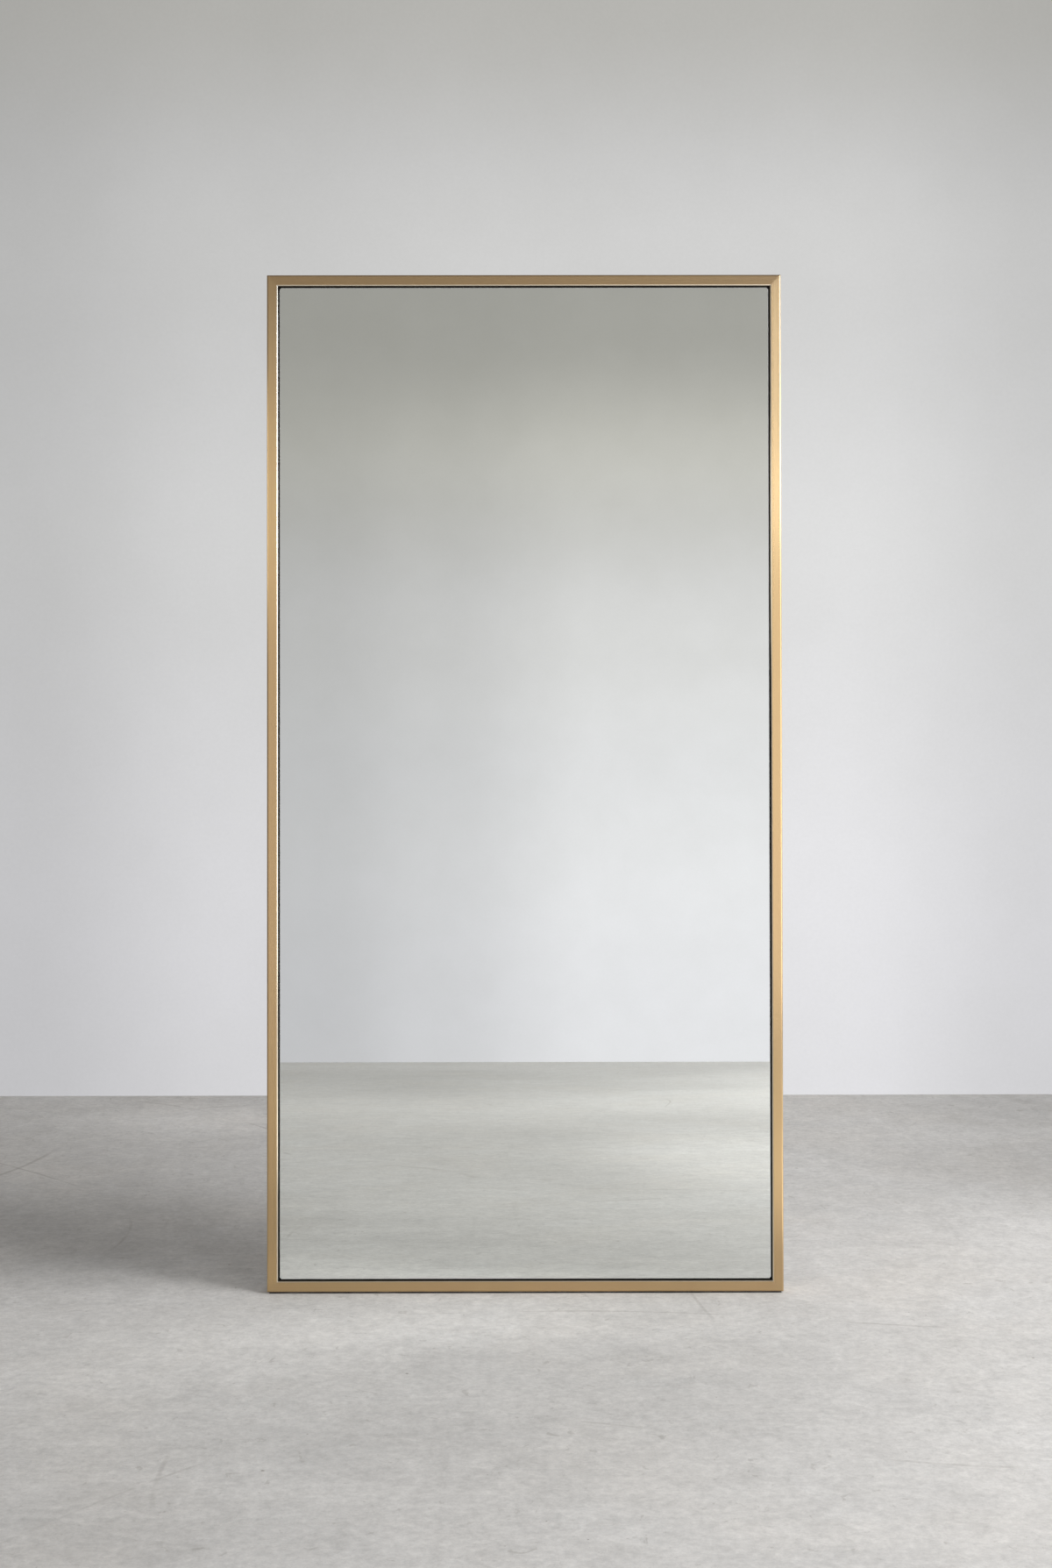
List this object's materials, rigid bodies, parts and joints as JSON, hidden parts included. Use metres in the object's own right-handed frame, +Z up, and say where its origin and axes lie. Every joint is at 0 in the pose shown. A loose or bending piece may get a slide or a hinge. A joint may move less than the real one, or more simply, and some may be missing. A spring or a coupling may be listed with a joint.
{
  "type": "standing mirror",
  "caption": "Tall rectangular floor mirror in a slim square-cornered brass-tone metal frame, leaning back on a fold-out tube stand.",
  "frame": {"origin": "middle of the footprint on the floor, under the centre of the bounding box", "axes": "+Z up, +Y towards the back where the stand is, -Y the way the mirror faces, +X to the right seen from the front"},
  "size_m": [0.914, 0.3306, 1.8013],
  "materials": {
    "brass_tone_aluminium": "brushed along each rail, brass-tone anodised, satin",
    "mirror": "clear silvered float glass with ground arrises",
    "foam_tape": "matt foam",
    "black_panel": "black faced fibreboard, matt",
    "black_rubber": "matt",
    "spring_steel": "tempered",
    "zinc_steel": "zinc plated",
    "black_steel": "black oxide",
    "brass_tone_steel": "brass-tone plated and lacquered, satin",
    "black_plastic": "fine moulded texture"
  },
  "bodies": {
    "frame": {"backing_panel": "black_panel", "bond_tapes": "foam_tape", "corner_key_bottom_left": "zinc_steel", "corner_key_bottom_right": "zinc_steel", "corner_key_top_left": "zinc_steel", "corner_key_top_right": "zinc_steel", "corner_set_screws": "black_steel", "corner_shim_bottom_left": "zinc_steel", "corner_shim_bottom_right": "zinc_steel", "corner_shim_top_left": "zinc_steel", "corner_shim_top_right": "zinc_steel", "hinge_bracket_left": "brass_tone_steel", "hinge_bracket_right": "brass_tone_steel", "mirror_glass": "mirror", "pivot_bolt_left": "zinc_steel", "pivot_bolt_right": "zinc_steel", "rail_bottom": "brass_tone_aluminium", "rail_left": "brass_tone_aluminium", "rail_right": "brass_tone_aluminium", "rail_top": "brass_tone_aluminium", "rubber_strip": "black_rubber", "setting_blocks": "black_rubber", "slot_nuts": "zinc_steel", "slot_screws": "black_steel", "spring_clips": "spring_steel", "stand_cradle_left": "black_plastic", "stand_cradle_right": "black_plastic", "tether_plate_left": "brass_tone_steel", "tether_plate_right": "brass_tone_steel"},
    "stand": {"pivot_sleeve_left": "zinc_steel", "pivot_sleeve_right": "zinc_steel", "saddle_washers": "black_plastic", "stand_foot_left": "black_rubber", "stand_foot_right": "black_rubber", "stand_tube": "brass_tone_steel", "tube_cap_left": "black_plastic", "tube_cap_right": "black_plastic"},
    "knob_left": {"clamp_knob_left": "black_plastic", "knob_insert_left": "zinc_steel"},
    "knob_right": {"clamp_knob_right": "black_plastic", "knob_insert_right": "zinc_steel"}
  },
  "joints": [
    {"name": "stand_fold", "type": "hinge", "parent": "frame", "child": "stand", "pos_m": [0, -0.0245, 1.34637], "axis": [-1, 0, 0], "range_deg": [0, 11.5]},
    {"name": "knob_left_turn", "type": "hinge", "parent": "frame", "child": "knob_left", "pos_m": [-0.41, -0.0245, 1.34637], "axis": [1, 0, 0], "range_deg": [0, 360]},
    {"name": "knob_right_turn", "type": "hinge", "parent": "frame", "child": "knob_right", "pos_m": [0.41, -0.0245, 1.34637], "axis": [-1, 0, 0], "range_deg": [0, 360]}
  ]
}
